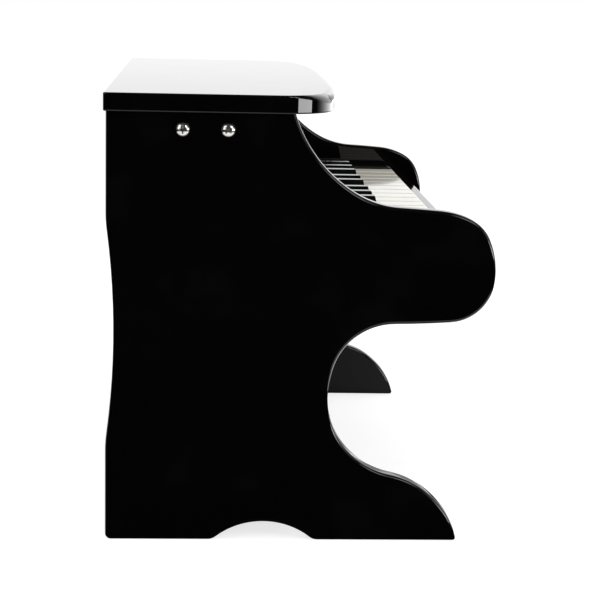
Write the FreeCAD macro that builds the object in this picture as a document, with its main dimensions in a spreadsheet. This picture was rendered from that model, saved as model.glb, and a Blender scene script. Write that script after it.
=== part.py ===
import FreeCAD, Part
import math
import operator
import os
from types import SimpleNamespace

import Sketcher

# Toy piano: an upright black case with a row of keys that strike chime rods.
# The origin is at the middle of the base. +Z is up, the keyboard faces -Y, and the low notes are at -X.
# Depths are measured forwards from the back edges of the side panels, heights from the floor.

SIZES = {
    # Side panels
    "case_width": 420.0,
    "panel_thickness": 12.0,
    "panel_height": 288.0,
    "panel_edge_radius": 2.2,
    "heel_radius": 4.0,
    "top_depth": 122.9,
    "case_depth": 257.6,
    "sweep_height": 61.6,
    "arm_height": 75.3,
    "knee_rise": 47.1,
    "knee_depth": 148.4,
    "toe_depth": 237.8,
    "toe_tip_run": 1.9,
    "toe_tip_rise": 2.4,
    "arch_centre": 106.3,
    "arch_width": 74.0,
    "arch_height": 12.7,
    "relief_centre": 142.0,
    "relief_length": 160.0,
    "relief_depth": 5.2,
    # Lid and the rail under it
    "lid_thickness": 12.0,
    "lid_front": 156.5,
    "lid_side_overhang": 3.0,
    "lid_back_overhang": 1.5,
    "lid_corner_run": 30.0,
    "lid_corner_rise": 35.5,
    "lid_shoulder_run": 90.0,
    "lid_shoulder_rise": 8.6,
    "lid_back_radius": 2.0,
    "lid_edge_radius": 1.0,
    "lid_nose_radius": 6.5,
    "rail_width": 52.0,
    "rail_height": 22.0,
    "rail_centre": 64.5,
    # Boards between the side panels
    "board_thickness": 9.0,
    "back_thickness": 5.0,
    "back_inset": 7.0,
    "base_gap": 16.0,
    "upper_face": 113.0,
    "lower_face": 140.0,
    "upper_gap": 1.6,
    "cleat_width": 12.0,
    "bed_cleat_front": 215.0,
    "bed_thickness": 10.0,
    "slip_thickness": 14.0,
    "slip_drop": 8.7,
    "slip_skirt": 6.0,
    "slip_gap": 1.0,
    "slip_edge_radius": 1.5,
    "cheek_width": 21.0,
    "cheek_rise": 3.0,
    "cheek_gap": 0.75,
    "cheek_radius": 6.5,
    "cheek_edge_radius": 1.2,
    # Keys
    "key_gap": 0.8,
    "key_drop": 17.2,
    "key_height": 17.0,
    "key_front": 229.3,
    "key_tail": 36.0,
    "key_edge_radius": 1.4,
    "key_dip": 7.0,
    "notch_gap": 1.0,
    "black_width": 11.0,
    "black_front": 190.0,
    "black_back": 115.5,
    "black_rise": 11.0,
    "black_draft": 1.0,
    "black_slope": 2.4,
    "black_edge_radius": 1.0,
    # Pivot, stops and felts
    "pivot_depth": 92.0,
    "pivot_diameter": 4.0,
    "pivot_socket": 15.0,
    "running_clearance": 0.08,
    "bracket_depth": 22.0,
    "bracket_drop": 1.2,
    "balance_width": 14.0,
    "balance_gap": 0.8,
    "felt_thickness": 3.0,
    "stop_front": 217.0,
    "stop_width": 12.0,
    "rest_width": 12.0,
    "seat_clearance": 0.3,
    # Hammers and chime
    "hammer_depth": 43.0,
    "hammer_diameter": 8.0,
    "hammer_height": 9.0,
    "strike_gap": 0.6,
    "chime_depth": 16.0,
    "chime_height": 24.0,
    "chime_rod_diameter": 3.0,
    "chime_socket": 8.0,
    "chime_clearance": 0.1,
    "bass_rod_reach": 70.0,
    "treble_rod_reach": 34.0,
    # Screws
    "side_head_diameter": 9.2,
    "side_head_height": 2.8,
    "side_shank_diameter": 4.2,
    "side_screw_length": 34.0,
    "side_screw_spacing": 29.4,
    "small_head_diameter": 6.0,
    "small_head_height": 1.9,
    "small_shank_diameter": 3.0,
    "small_grip": 9.0,
    "screw_clearance": 0.1,
    "cut_overrun": 2.0,
}

# Shares of the sizes that the curves and screw heads follow.
TOE_SHARES = [(0.956, 0.128), (0.563, 0.425), (0.483, 0.444), (0.0, 1.0)]
KNEE_SHARES = [(0.023, 0.303), (0.396, 0.974), (0.735, 1.006)]
NOSE_SHARES = [(0.995, 0.351), (1.0, 0.492), (0.956, 0.753), (0.847, 0.918), (0.661, 0.996)]
SWEEP_SHARES = [(0.525, 0.024), (0.294, 0.179), (0.0, 1.0)]
HOLLOW_BLEND_SHARE = 0.14
HEAD_ROUND_SHARE = 0.55
RECESS_WIDTH_SHARE = 0.16
RECESS_SPAN_SHARE = 0.62
RECESS_DEPTH_SHARE = 0.6
LID_SCREW_SHARES = (0.1, 0.5, 0.9)
CHIME_SCREW_SHARES = (0.04, 0.35, 0.65, 0.96)
BACK_SCREW_SHARES = (0.06, 0.35, 0.65, 0.94)

# White and black keys of an octave from C up. The keyboard runs from one C to another, two octaves up.
OCTAVE = "wbwbwwbwbwbw"
WHITE_STEPS = [step for step, colour in enumerate(OCTAVE) if colour == "w"]
BLACK_STEPS = [step for step, colour in enumerate(OCTAVE) if colour == "b"]
OCTAVES = 2
WHITE_COUNT = OCTAVES * len(WHITE_STEPS) + 1

OPERATIONS = {"+": operator.add, "-": operator.sub, "*": operator.mul, "/": operator.truediv}
PLANE_TOLERANCE = 1e-6

doc = FreeCAD.newDocument("toy_piano")
sheet = doc.addObject("Spreadsheet::Sheet", "Sizes")
for row, (alias, number) in enumerate(SIZES.items(), start=1):
    sheet.set(f"A{row}", alias)
    sheet.set(f"B{row}", str(number))
    sheet.setAlias(f"B{row}", alias)
doc.recompute()


class Size:
    """A length that knows both its number and the expression that ties it to the sheet."""

    def __init__(self, text, value):
        self.text = text
        self.value = value

    def __add__(self, other):
        return combine(self, "+", other)

    def __sub__(self, other):
        return combine(self, "-", other)

    def __mul__(self, other):
        return combine(self, "*", other)

    def __truediv__(self, other):
        return combine(self, "/", other)

    def __neg__(self):
        return combine(ZERO, "-", self)


def combine(first, sign, second):
    if not isinstance(second, Size):
        second = Size(f"{second:g}", float(second))
    value = OPERATIONS[sign](first.value, second.value)
    return Size(f"({first.text} {sign} {second.text})", value)


def between(first, second, share):
    return first + (second - first) * share


ZERO = Size("0", 0.0)
size = SimpleNamespace(**{alias: Size(f"Sizes.{alias}", sheet.get(alias)) for alias in SIZES})

# Places that several pieces share.
back_y = (size.case_depth - size.lid_back_overhang) / 2
outer_x = size.case_width / 2
inner_x = outer_x - size.panel_thickness
cheek_inner = inner_x - size.cheek_width
keyboard_x = cheek_inner - size.cheek_gap
key_pitch = keyboard_x * 2 / WHITE_COUNT
semitone = key_pitch * len(WHITE_STEPS) / len(OCTAVE)
arm_top = size.panel_height - size.sweep_height
arm_bottom = arm_top - size.arm_height
knee_height = arm_bottom - size.knee_rise
key_top = arm_top - size.key_drop
key_bottom = key_top - size.key_height
pivot_z = key_bottom + size.key_height / 2
front_arm = size.key_front - size.pivot_depth
stop_drop = size.key_dip * (size.stop_front - size.pivot_depth) / front_arm
bed_top = key_bottom - stop_drop - size.seat_clearance - size.felt_thickness
bed_bottom = bed_top - size.bed_thickness
back_inner = size.back_inset + size.back_thickness
base_top = size.base_gap + size.board_thickness
upper_back = size.upper_face - size.board_thickness
slip_back = size.key_front + size.slip_gap
slip_front = slip_back + size.slip_thickness
rail_bottom = size.panel_height - size.rail_height
rail_mid = size.panel_height - size.rail_height / 2
chime_face = back_inner + size.chime_depth
strike_lift = size.key_dip * (size.pivot_depth - size.hammer_depth) / front_arm
hammer_top = key_top + size.hammer_height
chime_z = hammer_top + strike_lift + size.strike_gap + size.chime_rod_diameter / 2
chime_bottom = chime_z - size.chime_height / 2
pivot_hole = size.pivot_diameter + size.running_clearance * 2

nodes = []

ALONG = {
    "right": FreeCAD.Rotation(FreeCAD.Vector(0, 1, 0), 90),
    "left": FreeCAD.Rotation(FreeCAD.Vector(0, 1, 0), -90),
    "front": FreeCAD.Rotation(FreeCAD.Vector(1, 0, 0), 90),
    "up": FreeCAD.Rotation(),
}
HALF_TURN = FreeCAD.Rotation(FreeCAD.Vector(0, 0, 1), 180)


def bind(item, **sizes):
    for name, length in sizes.items():
        item.setExpression(name, length.text)


def place(item, x, depth, z, rotation=None):
    if rotation is not None:
        item.Placement = FreeCAD.Placement(FreeCAD.Vector(), rotation)
    for axis, length in zip("xyz", (x, back_y - depth, z)):
        item.setExpression(f"Placement.Base.{axis}", length.text)


def keep(item, label):
    item.Label = label
    nodes.append(item)
    return item


def box(name, xs, depths, heights):
    """Board from one x, depth and height to another."""
    item = doc.addObject("Part::Box", name)
    bind(item, Length=xs[1] - xs[0], Width=depths[1] - depths[0], Height=heights[1] - heights[0])
    place(item, xs[0], depths[1], heights[0])
    return item


def rod(name, diameter, length, x, depth, z, along):
    item = doc.addObject("Part::Cylinder", name)
    bind(item, Radius=diameter / 2, Height=length)
    place(item, x, depth, z, ALONG[along])
    return item


def group(name, items):
    item = doc.addObject("Part::Compound", name)
    item.Links = items
    return item


def cut(name, base, tools):
    item = doc.addObject("Part::Cut", name)
    item.Base = base
    item.Tool = tools[0] if len(tools) == 1 else group(f"{name}_tools", tools)
    return item


def rounded(name, base, wanted, radius_at):
    """Round the edges of a solid that the test picks, with the radius for the point at each end."""
    doc.recompute()
    item = doc.addObject("Part::Fillet", name)
    item.Base = base
    rows = []
    for number, edge in enumerate(base.Shape.Edges, start=1):
        if wanted(edge):
            ends = [radius_at(edge.Vertexes[end].Point).value for end in (0, -1)]
            rows.append((number, *ends))
    item.Edges = rows
    return item


def even(radius):
    return lambda point: radius


def new_body(name, x, depth, z):
    """Body whose own x runs to the left and whose own y runs forwards, so that depths are positive."""
    body = doc.addObject("PartDesign::Body", name)
    place(body, x, depth, z, HALF_TURN)
    return body


def new_sketch(body, name, role):
    sketch = body.newObject("Sketcher::SketchObject", name)
    plane = next(item for item in body.Origin.OriginFeatures if item.Role == role)
    sketch.AttachmentSupport = [(plane, "")]
    sketch.MapMode = "FlatFace"
    return sketch


def tie(sketch, kind, *target, length):
    """Add a constraint and bind its value to the sheet."""
    number = sketch.addConstraint(Sketcher.Constraint(kind, *target, length.value))
    sketch.setExpression(f"Constraints[{number}]", length.text)


def pin_point(sketch, geometry, end, point):
    """Hold one end of a piece of the outline at its two lengths from the sketch's origin."""
    axes = (("DistanceX", -2), ("DistanceY", -1))
    for (kind, axis), length in zip(axes, point):
        if length is ZERO:
            sketch.addConstraint(Sketcher.Constraint("PointOnObject", geometry, end, axis))
        else:
            tie(sketch, kind, -1, 1, geometry, end, length=length)


def flat(point):
    return FreeCAD.Vector(point[0].value, point[1].value)


def outline(sketch, start, steps):
    """Closed outline from step to step: a 'line', or a 'smooth' arc that carries on without a corner."""
    here = start
    heading = None
    first = None
    last = None
    for number, (kind, target) in enumerate(steps):
        chord = flat(target) - flat(here)
        slant = math.atan2(chord.y, chord.x)
        if kind == "line":
            geometry = sketch.addGeometry(Part.LineSegment(flat(here), flat(target)))
            heading = slant
        else:
            sag = chord.Length / 2 * math.tan((heading - slant) / 2)
            side = FreeCAD.Vector(-chord.y, chord.x).normalize()
            middle = (flat(here) + flat(target)) / 2 + side * sag
            geometry = sketch.addGeometry(Part.Arc(flat(here), middle, flat(target)))
            heading = 2 * slant - heading
        opens = 1 if sketch.getPoint(geometry, 1).isEqual(flat(here), PLANE_TOLERANCE) else 2
        closes = 3 - opens
        if last is None:
            first = (geometry, opens)
            pin_point(sketch, geometry, opens, here)
        else:
            link = "Tangent" if kind == "smooth" else "Coincident"
            sketch.addConstraint(Sketcher.Constraint(link, *last, geometry, opens))
        if number == len(steps) - 1:
            sketch.addConstraint(Sketcher.Constraint("Coincident", geometry, closes, *first))
        else:
            pin_point(sketch, geometry, closes, target)
        last = (geometry, closes)
        here = target


def circles(sketch, diameter, centres):
    for centre in centres:
        normal = FreeCAD.Vector(0, 0, 1)
        geometry = sketch.addGeometry(Part.Circle(flat(centre), normal, diameter.value / 2))
        pin_point(sketch, geometry, 3, centre)
        tie(sketch, "Diameter", geometry, length=diameter)


def pad(body, sketch, length):
    item = body.newObject("PartDesign::Pad", f"{sketch.Name}_pad")
    item.Profile = sketch
    bind(item, Length=length)
    return item


def bore(body, sketch, length):
    """Cut the sketch's circles this far to both sides of its plane."""
    doc.recompute()
    solid = body.Shape.Volume
    item = body.newObject("PartDesign::Pocket", f"{sketch.Name}_bore")
    item.Profile = sketch
    item.Midplane = True
    bind(item, Length=length * 2)
    doc.recompute()
    if body.Shape.Volume >= solid:
        raise ValueError(f"{item.Name} cuts nothing")
    return item


def soften(body, radius, wanted):
    """Round the edges of a body's last feature that the test picks."""
    doc.recompute()
    base = body.Tip
    picked = [f"Edge{n}" for n, edge in enumerate(base.Shape.Edges, start=1) if wanted(edge)]
    item = body.newObject("PartDesign::Fillet", f"{body.Name}_round")
    item.Base = (base, picked)
    bind(item, Radius=radius)
    return item


def level(edge, axis, length):
    """Whether all of an edge lies at one place along an axis."""
    low = getattr(edge.BoundBox, f"{axis}Min")
    high = getattr(edge.BoundBox, f"{axis}Max")
    return max(abs(low - length.value), abs(high - length.value)) < PLANE_TOLERANCE


# Screws: places are (x, depth, z) of the surface that the head sits on, with the way that the shank points.
side_depths = [size.rail_centre + size.side_screw_spacing * side / 2 for side in (-1, 1)]
side_places = [(side_x, depth, rail_mid, way) for side_x, way in ((-outer_x, "right"), (outer_x, "left"))
               for depth in side_depths]
lid_places = [(between(-inner_x, inner_x, share), size.rail_centre, rail_bottom, "up")
              for share in LID_SCREW_SHARES]
chime_screw_z = (chime_bottom + chime_z) / 2
chime_places = [(between(-keyboard_x, keyboard_x, share), size.back_inset, chime_screw_z, "front")
                for share in CHIME_SCREW_SHARES]
cleat_x = inner_x - size.cleat_width / 2
back_places = [(side_x, size.back_inset, between(base_top, bed_bottom, share), "front")
               for side_x in (-cleat_x, cleat_x) for share in BACK_SCREW_SHARES]
lid_screw_length = size.rail_height + size.small_grip
back_screw_length = size.back_thickness + size.small_grip


def screw(name, spot, head, height, shank, length):
    """Pan-head screw with a cross recess, built with its head below its own zero and its shank above."""
    blank = doc.addObject("Part::Cylinder", f"{name}_head")
    bind(blank, Radius=head / 2, Height=height)
    blank.setExpression("Placement.Base.z", (-height).text)
    dome = rounded(f"{name}_dome", blank, lambda edge: level(edge, "Z", -height),
                   even(height * HEAD_ROUND_SHARE))
    stem = doc.addObject("Part::Cylinder", f"{name}_stem")
    bind(stem, Radius=shank / 2, Height=length)
    whole = doc.addObject("Part::Fuse", f"{name}_whole")
    whole.Base = dome
    whole.Tool = stem
    arms = []
    for arm, (across, along) in enumerate(((RECESS_WIDTH_SHARE, RECESS_SPAN_SHARE),
                                           (RECESS_SPAN_SHARE, RECESS_WIDTH_SHARE))):
        slot = doc.addObject("Part::Box", f"{name}_slot_{arm}")
        deep = height * RECESS_DEPTH_SHARE
        bind(slot, Length=head * across, Width=head * along, Height=deep + size.cut_overrun)
        for axis, start in (("x", -(head * across) / 2), ("y", -(head * along) / 2),
                            ("z", -height - size.cut_overrun)):
            slot.setExpression(f"Placement.Base.{axis}", start.text)
        arms.append(slot)
    item = cut(name, whole, arms)
    x, depth, z, way = spot
    place(item, x, depth, z, ALONG[way])
    return item


def screws(label, places, head, height, shank, length):
    made = [screw(f"{label}_{number}", spot, head, height, shank, length)
            for number, spot in enumerate(places, start=1)]
    keep(group(label, made), label)


def drilled(name, base, places, shank, length):
    """Cut the holes that screws at these places need, from under each head to past each point."""
    tools = []
    for number, (x, depth, z, way) in enumerate(places, start=1):
        hole = rod(f"{name}_hole_{number}", shank + size.screw_clearance * 2, length, x, depth, z, way)
        tools.append(hole)
    return cut(name, base, tools)


def stretch(depths, heights, shares):
    """Steps of an outline at shares of a span of depths and a span of heights."""
    return [("smooth", (between(*depths, depth), between(*heights, height))) for depth, height in shares]


def hollow(start, end, rise):
    """Three smooth arcs into and out of a shallow hollow: places along its edge and its height there."""
    middle = (start + end) / 2
    lift = rise * HOLLOW_BLEND_SHARE
    return [(between(start, middle, HOLLOW_BLEND_SHARE), lift),
            (between(end, middle, HOLLOW_BLEND_SHARE), lift), (end, ZERO)]


def side_panel(label, inner_face):
    """One scrolled board: arch below, toe, knee hollow, rounded arm, sweep to the lid and relieved back."""
    body = new_body(f"{label}_body", inner_face, ZERO, ZERO)
    sketch = new_sketch(body, f"{label}_outline", "YZ_Plane")
    arch_ends = [size.arch_centre + size.arch_width * side / 2 for side in (-1, 1)]
    relief_ends = [size.relief_centre + size.relief_length * side / 2 for side in (1, -1)]
    arch = hollow(*arch_ends, size.arch_height)
    relief = hollow(*relief_ends, size.relief_depth)
    steps = [("line", (arch_ends[0], ZERO))] + [("smooth", point) for point in arch]
    steps.append(("line", (size.toe_depth - size.toe_tip_run, ZERO)))
    steps.append(("smooth", (size.toe_depth, size.toe_tip_rise)))
    steps += stretch((size.knee_depth, size.toe_depth), (ZERO, knee_height), TOE_SHARES)
    reach = (size.knee_depth, size.case_depth)
    steps += stretch(reach, (knee_height, arm_bottom), KNEE_SHARES)
    steps += stretch(reach, (arm_bottom, arm_top), NOSE_SHARES)
    steps += stretch((size.top_depth, size.case_depth), (arm_top, size.panel_height), SWEEP_SHARES)
    steps += [("line", (ZERO, size.panel_height)), ("line", (ZERO, relief_ends[0]))]
    steps += [("smooth", (depth, height)) for height, depth in relief]
    steps += [("line", (ZERO, size.heel_radius)), ("smooth", (size.heel_radius, ZERO))]
    outline(sketch, (size.heel_radius, ZERO), steps)
    pad(body, sketch, size.panel_thickness)
    holes = new_sketch(body, f"{label}_holes", "YZ_Plane")
    circles(holes, size.side_shank_diameter + size.screw_clearance * 2,
            [(depth, rail_mid) for depth in side_depths])
    bore(body, holes, size.panel_thickness + size.cut_overrun)
    faces = (ZERO, size.panel_thickness)
    soften(body, size.panel_edge_radius,
           lambda edge: len(edge.Vertexes) == 2 and any(level(edge, "X", face) for face in faces)
           and not level(edge, "Z", size.panel_height))
    return keep(body, label)


def lid():
    """Flat top with a bowed front, round corners and a nosed front edge, drilled from below."""
    width = size.case_width + size.lid_side_overhang * 2
    length = size.lid_front + size.lid_back_overhang
    body = new_body("lid_body", width / 2, -size.lid_back_overhang, size.panel_height)
    sketch = new_sketch(body, "lid_outline", "XY_Plane")
    small = size.lid_back_radius
    corner = size.lid_corner_run
    shoulder = corner + size.lid_shoulder_run
    corner_end = length - size.lid_shoulder_rise
    side_end = corner_end - size.lid_corner_rise
    outline(sketch, (small, ZERO), [
        ("line", (width - small, ZERO)), ("smooth", (width, small)), ("line", (width, side_end)),
        ("smooth", (width - corner, corner_end)), ("smooth", (width - shoulder, length)),
        ("smooth", (shoulder, length)), ("smooth", (corner, corner_end)), ("smooth", (ZERO, side_end)),
        ("line", (ZERO, small)), ("smooth", (small, ZERO))])
    pad(body, sketch, size.lid_thickness)
    lid_top = size.panel_height + size.lid_thickness
    nose_y = back_y + size.lid_back_overhang - (side_end + corner_end) / 2

    def edge_radius(point):
        nosed = point.y < nose_y.value and point.z > size.panel_height.value + PLANE_TOLERANCE
        return size.lid_nose_radius if nosed else size.lid_edge_radius

    shaped = rounded("lid_shaped", body, lambda edge: level(edge, "Z", size.panel_height)
                     or level(edge, "Z", lid_top), edge_radius)
    keep(drilled("lid", shaped, lid_places, size.small_shank_diameter, lid_screw_length), "lid")


def case_boards():
    across = (-inner_x, inner_x)
    rail_depths = (size.rail_centre - size.rail_width / 2, size.rail_centre + size.rail_width / 2)
    rail = box("rail_blank", across, rail_depths, (rail_bottom, size.panel_height))
    rail = drilled("rail_side_drilled", rail, side_places, size.side_shank_diameter, size.side_screw_length)
    rail = drilled("top_rail", rail, lid_places, size.small_shank_diameter, lid_screw_length)
    keep(rail, "top_rail")
    keep(box("upper_front_panel", across, (upper_back, size.upper_face),
             (key_top + size.upper_gap, size.panel_height)), "upper_front_panel")
    keep(box("lower_front_panel", across, (size.lower_face - size.board_thickness, size.lower_face),
             (size.base_gap, bed_bottom)), "lower_front_panel")
    back = box("back_blank", across, (size.back_inset, back_inner), (size.base_gap, size.panel_height))
    back = drilled("back_panel", back, chime_places + back_places, size.small_shank_diameter,
                   back_screw_length)
    keep(back, "back_panel")
    keep(box("bottom_board", across, (back_inner, size.lower_face - size.board_thickness),
             (size.base_gap, base_top)), "bottom_board")
    keep(box("key_bed", across, (back_inner, slip_back), (bed_bottom, bed_top)), "key_bed")
    slip = box("slip_blank", across, (slip_back, slip_front),
               (bed_bottom - size.slip_skirt, key_top - size.slip_drop))
    slip_top = key_top - size.slip_drop
    keep(rounded("key_slip", slip,
                 lambda edge: level(edge, "Z", slip_top) and edge.Length > slip_front.value,
                 even(size.slip_edge_radius)), "key_slip")


def side_pieces(side, outer, inner):
    """Cheek block, pivot bracket and cleats at one end of the keyboard, from the panel inwards."""
    xs = sorted((outer, inner), key=lambda length: length.value)
    cheek_top = key_top + size.cheek_rise
    cheek = box(f"{side}_cheek_blank", xs, (size.upper_face, size.key_front), (bed_top, cheek_top))
    front_y, upper_y = back_y - size.key_front, back_y - size.upper_face
    nosed = rounded(f"{side}_cheek_nosed", cheek,
                    lambda edge: level(edge, "Z", cheek_top) and level(edge, "Y", front_y),
                    even(size.cheek_radius))
    keep(rounded(f"{side}_cheek_block", nosed,
                 lambda edge: level(edge, "X", inner) and not level(edge, "Z", bed_top)
                 and not level(edge, "Y", upper_y),
                 even(size.cheek_edge_radius)), f"{side}_cheek_block")
    half = size.bracket_depth / 2
    bracket = box(f"{side}_bracket_blank", xs, (size.pivot_depth - half, size.pivot_depth + half),
                  (bed_top, key_top - size.bracket_drop))
    way = "left" if side == "left" else "right"
    socket = rod(f"{side}_pivot_socket", pivot_hole, size.pivot_socket, inner, size.pivot_depth, pivot_z,
                 way)
    keep(cut(f"{side}_pivot_bracket", bracket, [socket]), f"{side}_pivot_bracket")
    cleat = outer - size.cleat_width if side == "right" else outer + size.cleat_width
    cleat_xs = sorted((outer, cleat), key=lambda length: length.value)
    upright = box(f"{side}_cleat_blank", cleat_xs, (back_inner, back_inner + size.cleat_width),
                  (base_top, bed_bottom))
    mine = [spot for spot in back_places if (spot[0].value > 0) == (outer.value > 0)]
    keep(drilled(f"{side}_back_cleat", upright, mine, size.small_shank_diameter, back_screw_length),
         f"{side}_back_cleat")
    keep(box(f"{side}_bed_cleat", cleat_xs, (size.lower_face, size.bed_cleat_front),
             (bed_bottom - size.cleat_width, bed_bottom)), f"{side}_bed_cleat")


def key_supports():
    """Pivot rod through every key, the rail under it and the felts that stop the keys."""
    across = (-cheek_inner, cheek_inner)
    keep(rod("key_pivot_rod", size.pivot_diameter, (cheek_inner + size.pivot_socket) * 2,
             -cheek_inner - size.pivot_socket, size.pivot_depth, pivot_z, "right"), "key_pivot_rod")
    half = size.balance_width / 2
    keep(box("balance_rail", across, (size.pivot_depth - half, size.pivot_depth + half),
             (bed_top, key_bottom - size.balance_gap)), "balance_rail")
    keep(box("front_stop_felt", across, (size.stop_front - size.stop_width, size.stop_front),
             (bed_top, bed_top + size.felt_thickness)), "front_stop_felt")
    rest = (size.key_tail, size.key_tail + size.rest_width)
    felt_top = key_bottom - size.seat_clearance
    felt_bottom = felt_top - size.felt_thickness
    keep(box("rear_rest_rail", across, rest, (bed_top, felt_bottom)), "rear_rest_rail")
    keep(box("rear_rest_felt", across, rest, (felt_bottom, felt_top)), "rear_rest_felt")


def black_centre(octave, step):
    return -keyboard_x + semitone * (octave * len(OCTAVE) + step) + semitone / 2


def with_hammer(label, key, middle):
    """A key and the hammer peg that stands on its tail."""
    hammer = rod(f"{label}_hammer", size.hammer_diameter, size.hammer_height,
                 middle, size.hammer_depth, key_top, "up")
    keep(group(label, [key, hammer]), label)


def white_key(number):
    """Long flat key, narrowed behind its head beside black keys. Returns its tail's middle."""
    label = f"white_key_{number + 1:02d}"
    octave, letter = divmod(number, len(WHITE_STEPS))
    step = WHITE_STEPS[letter]
    left = -keyboard_x + key_pitch * number + size.key_gap / 2
    right = left + key_pitch - size.key_gap
    aside = size.black_width / 2 + size.notch_gap
    tail_left = left
    tail_right = right
    if step - 1 in BLACK_STEPS:
        tail_left = black_centre(octave, step - 1) + aside
    if step + 1 in BLACK_STEPS and number < WHITE_COUNT - 1:
        tail_right = black_centre(octave, step + 1) - aside
    head_width = key_pitch - size.key_gap
    notch = size.black_front + size.notch_gap
    near = right - tail_right if tail_right is not right else ZERO
    far = right - tail_left if tail_left is not left else head_width
    body = new_body(f"{label}_body", right, ZERO, key_bottom)
    sketch = new_sketch(body, f"{label}_plan", "XY_Plane")
    corners = [(near, size.key_tail), (near, notch), (ZERO, notch), (ZERO, size.key_front),
               (head_width, size.key_front), (head_width, notch), (far, notch), (far, size.key_tail)]
    if near is ZERO:
        corners = corners[:1] + corners[3:]
    if far is head_width:
        corners = corners[:-3] + corners[-1:]
    corners.reverse()
    outline(sketch, corners[0], [("line", corner) for corner in corners[1:] + corners[:1]])
    pad(body, sketch, size.key_height)
    hole = new_sketch(body, f"{label}_pivot", "YZ_Plane")
    circles(hole, pivot_hole, [(size.pivot_depth, size.key_height / 2)])
    bore(body, hole, head_width + size.cut_overrun)
    soften(body, size.key_edge_radius, lambda edge: level(edge, "Z", size.key_height))
    middle = (tail_left + tail_right) / 2
    with_hammer(label, body, middle)
    return middle


def black_key(number, octave, step):
    """Narrow lever with a raised, drafted cap in front of the upper panel. Returns its middle."""
    label = f"black_key_{number:02d}"
    middle = black_centre(octave, step)
    half = size.black_width / 2
    lever = box(f"{label}_lever", (middle - half, middle + half), (size.key_tail, size.black_front),
                (key_bottom, key_top))
    cap = doc.addObject("Part::Wedge", f"{label}_cap")
    top = key_top + size.black_rise
    bind(cap, Xmin=middle - half, Xmax=middle + half, Ymin=key_top, Ymax=top,
         Zmin=size.black_back, Zmax=size.black_front,
         X2min=middle - half + size.black_draft, X2max=middle + half - size.black_draft,
         Z2min=size.black_back, Z2max=size.black_front - size.black_slope)
    place(cap, ZERO, ZERO, ZERO, ALONG["front"])
    whole = doc.addObject("Part::Fuse", f"{label}_whole")
    whole.Base = lever
    whole.Tool = cap
    whole.Refine = True
    crest = rounded(f"{label}_crest", whole, lambda edge: level(edge, "Z", top),
                    even(size.black_edge_radius))
    length = size.black_width + size.cut_overrun * 2
    hole = rod(f"{label}_pivot", pivot_hole, length, middle - length / 2, size.pivot_depth, pivot_z,
               "right")
    with_hammer(label, cut(f"{label}_bored", crest, [hole]), middle)
    return middle


def chime(middles):
    """Cast bar on the back panel with one rod over each hammer, longest at the low notes."""
    bar = box("chime_blank", (-keyboard_x, keyboard_x), (back_inner, chime_face),
              (chime_bottom, chime_bottom + size.chime_height))
    sockets = []
    rods = []
    start = chime_face - size.chime_socket
    for number, middle in enumerate(middles):
        share = number / (len(middles) - 1)
        reach = between(size.bass_rod_reach, size.treble_rod_reach, share) + size.chime_socket
        sockets.append(rod(f"chime_socket_{number}", size.chime_rod_diameter + size.chime_clearance * 2,
                           size.chime_socket + size.cut_overrun, middle, start, chime_z, "front"))
        rods.append(rod(f"chime_rod_{number}", size.chime_rod_diameter, reach, middle, start, chime_z,
                        "front"))
    bar = cut("chime_socketed", bar, sockets)
    bar = drilled("chime_block", bar, chime_places, size.small_shank_diameter, back_screw_length)
    keep(bar, "chime_block")
    keep(group("chime_rods", rods), "chime_rods")


side_panel("left_side_panel", -inner_x)
side_panel("right_side_panel", outer_x)
lid()
case_boards()
side_pieces("left", -inner_x, -cheek_inner)
side_pieces("right", inner_x, cheek_inner)
key_supports()
blacks = [(octave, step) for octave in range(OCTAVES) for step in BLACK_STEPS]
tail_middles = [white_key(number) for number in range(WHITE_COUNT)]
tail_middles += [black_key(number, *note) for number, note in enumerate(blacks, start=1)]
chime(sorted(tail_middles, key=lambda middle: middle.value))
small = (size.small_head_diameter, size.small_head_height, size.small_shank_diameter)
screws("side_screws", side_places, size.side_head_diameter, size.side_head_height,
       size.side_shank_diameter, size.side_screw_length)
screws("lid_screws", lid_places, *small, lid_screw_length)
screws("chime_screws", chime_places, *small, back_screw_length)
screws("back_panel_screws", back_places, *small, back_screw_length)

doc.recompute()
for item in doc.Objects:
    if "Invalid" in item.State or "Error" in item.State:
        raise ValueError(f"{item.Label} failed: {item.State}")
    if item.isDerivedFrom("Sketcher::SketchObject") and not item.FullyConstrained:
        raise ValueError(f"{item.Label} is not fully constrained")
for node in nodes:
    if node.Shape.isNull() or not node.Shape.isValid():
        raise ValueError(f"{node.Label} has no valid shape")

os.makedirs("parts", exist_ok=True)
for node in nodes:
    node.Shape.exportStep(f"parts/{node.Label}.step")
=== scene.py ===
"""Looks of the toy piano: finishes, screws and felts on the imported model, with floor, light and camera."""
import math

import bmesh
import bpy
from mathutils import Matrix, Vector, kdtree, noise


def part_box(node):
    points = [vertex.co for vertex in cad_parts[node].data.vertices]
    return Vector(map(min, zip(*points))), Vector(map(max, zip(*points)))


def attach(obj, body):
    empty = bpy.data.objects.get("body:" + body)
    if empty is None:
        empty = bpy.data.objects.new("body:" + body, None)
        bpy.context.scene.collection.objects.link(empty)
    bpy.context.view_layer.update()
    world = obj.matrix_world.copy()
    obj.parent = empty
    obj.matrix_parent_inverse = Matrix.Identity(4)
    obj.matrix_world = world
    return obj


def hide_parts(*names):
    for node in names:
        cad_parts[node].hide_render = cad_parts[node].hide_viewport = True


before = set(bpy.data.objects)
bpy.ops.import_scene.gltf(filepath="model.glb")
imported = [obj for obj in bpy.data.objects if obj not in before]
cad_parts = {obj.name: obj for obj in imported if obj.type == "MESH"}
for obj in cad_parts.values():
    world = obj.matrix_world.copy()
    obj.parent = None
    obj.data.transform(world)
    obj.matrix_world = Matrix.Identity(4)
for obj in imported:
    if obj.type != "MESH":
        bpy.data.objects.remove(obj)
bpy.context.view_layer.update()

MM = 0.001

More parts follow.
